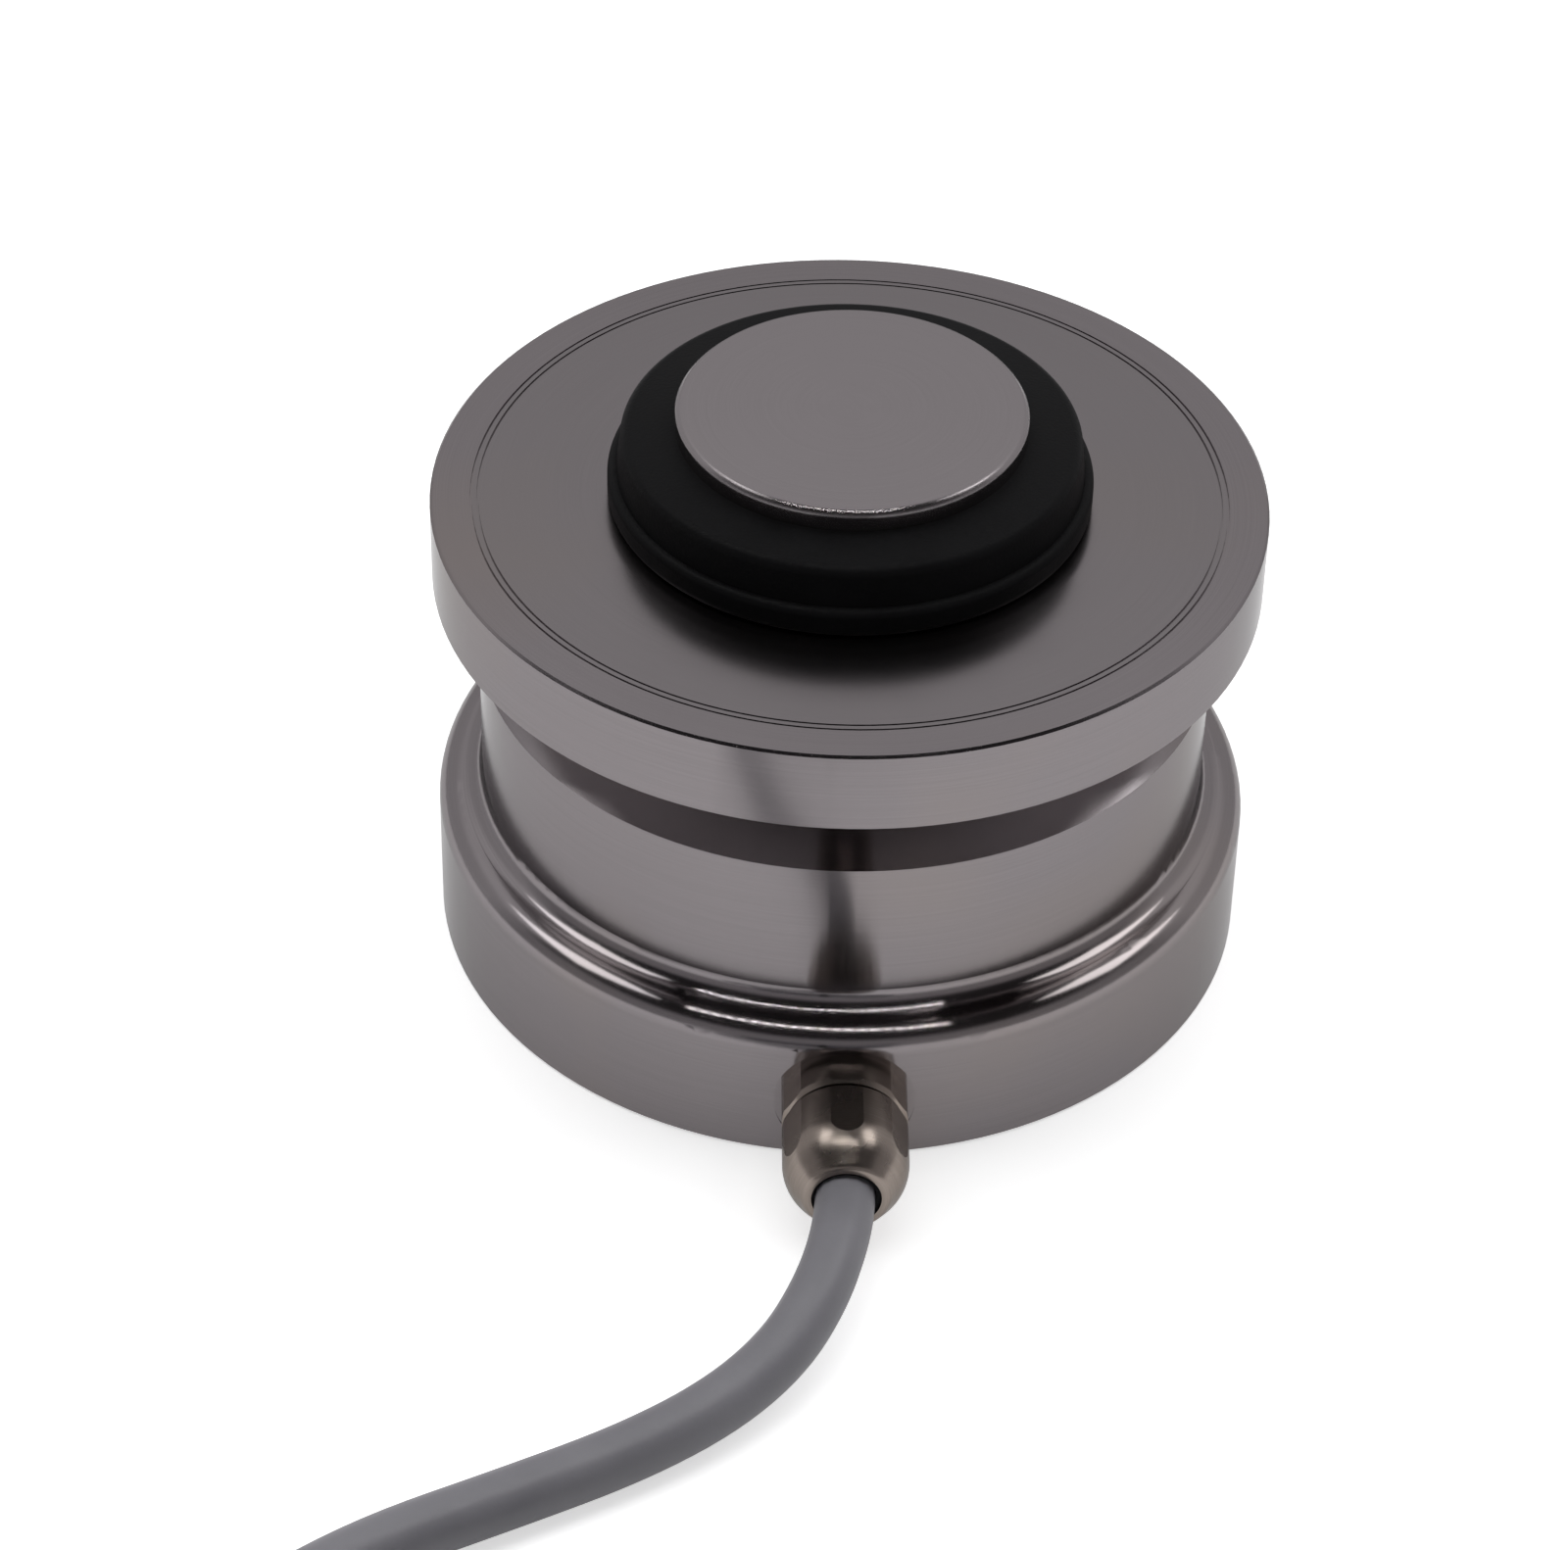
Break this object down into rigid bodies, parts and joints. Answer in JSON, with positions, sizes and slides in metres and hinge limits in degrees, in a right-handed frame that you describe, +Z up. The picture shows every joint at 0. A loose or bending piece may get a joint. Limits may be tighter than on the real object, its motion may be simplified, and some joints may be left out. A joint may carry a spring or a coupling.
{
  "type": "ring torsion load cell",
  "caption": "Low spool-shaped stainless load cell with a round load button in a rubber collar and a side gland with a coiled cable.",
  "frame": {"origin": "centre of the underside, on the load axis, at the level of the foot ring", "axes": "+Z up along the load axis, -Y out along the cable gland, +X to the right seen from the gland"},
  "size_m": [0.1293, 0.319, 0.0736],
  "materials": {
    "stainless_steel": "fine-turned stainless steel, satin",
    "nickel_plated_brass": "nickel-plated, smooth",
    "collar_rubber": "moulded, matt with a soft sheen",
    "seal_rubber": "moulded, matt",
    "gauge_film": "amber film with a metal foil grid",
    "enamelled_wire": "enamelled copper",
    "board": "green solder resist, satin",
    "resistor_body": "moulded",
    "tinned_copper": "tinned, bright",
    "cable_jacket": "smooth grey jacket, satin",
    "clamp_plastic": "moulded polyamide",
    "tie_plastic": "moulded polyamide, satin",
    "shrink_sleeve": "shrunk polyolefin, satin",
    "red_insulation": "smooth",
    "black_insulation": "smooth",
    "green_insulation": "smooth",
    "white_insulation": "smooth",
    "screen_sleeve": "sleeved drain wire"
  },
  "bodies": {
    "root": {"measuring_body": "stainless_steel", "top_cover": "stainless_steel", "bottom_cover": "stainless_steel", "load_button": "stainless_steel", "button_o_ring": "seal_rubber", "rubber_collar": "collar_rubber", "upper_strain_gauges": "gauge_film", "lower_strain_gauges": "gauge_film", "upper_gauge_wires": "enamelled_wire", "lower_gauge_wires": "enamelled_wire", "riser_wires": "enamelled_wire", "circuit_board": "board", "trim_resistors": "resistor_body", "solder_posts": "tinned_copper", "inner_wire_red": "red_insulation", "inner_wire_black": "black_insulation", "inner_wire_green": "green_insulation", "inner_wire_white": "white_insulation", "gland_body": "nickel_plated_brass", "gland_o_ring": "seal_rubber", "gland_clamp": "clamp_plastic", "gland_seal": "seal_rubber", "gland_nut": "nickel_plated_brass", "cable_in_gland": "cable_jacket", "cable_lead": "cable_jacket", "cable_coil": "cable_jacket", "coil_tie_1": "tie_plastic", "coil_tie_2": "tie_plastic", "cable_tail": "cable_jacket", "end_sleeve": "shrink_sleeve", "lead_red": "red_insulation", "lead_black": "black_insulation", "lead_green": "green_insulation", "lead_white": "white_insulation", "lead_screen": "screen_sleeve", "lead_ferrules": "tinned_copper"}
  },
  "joints": []
}
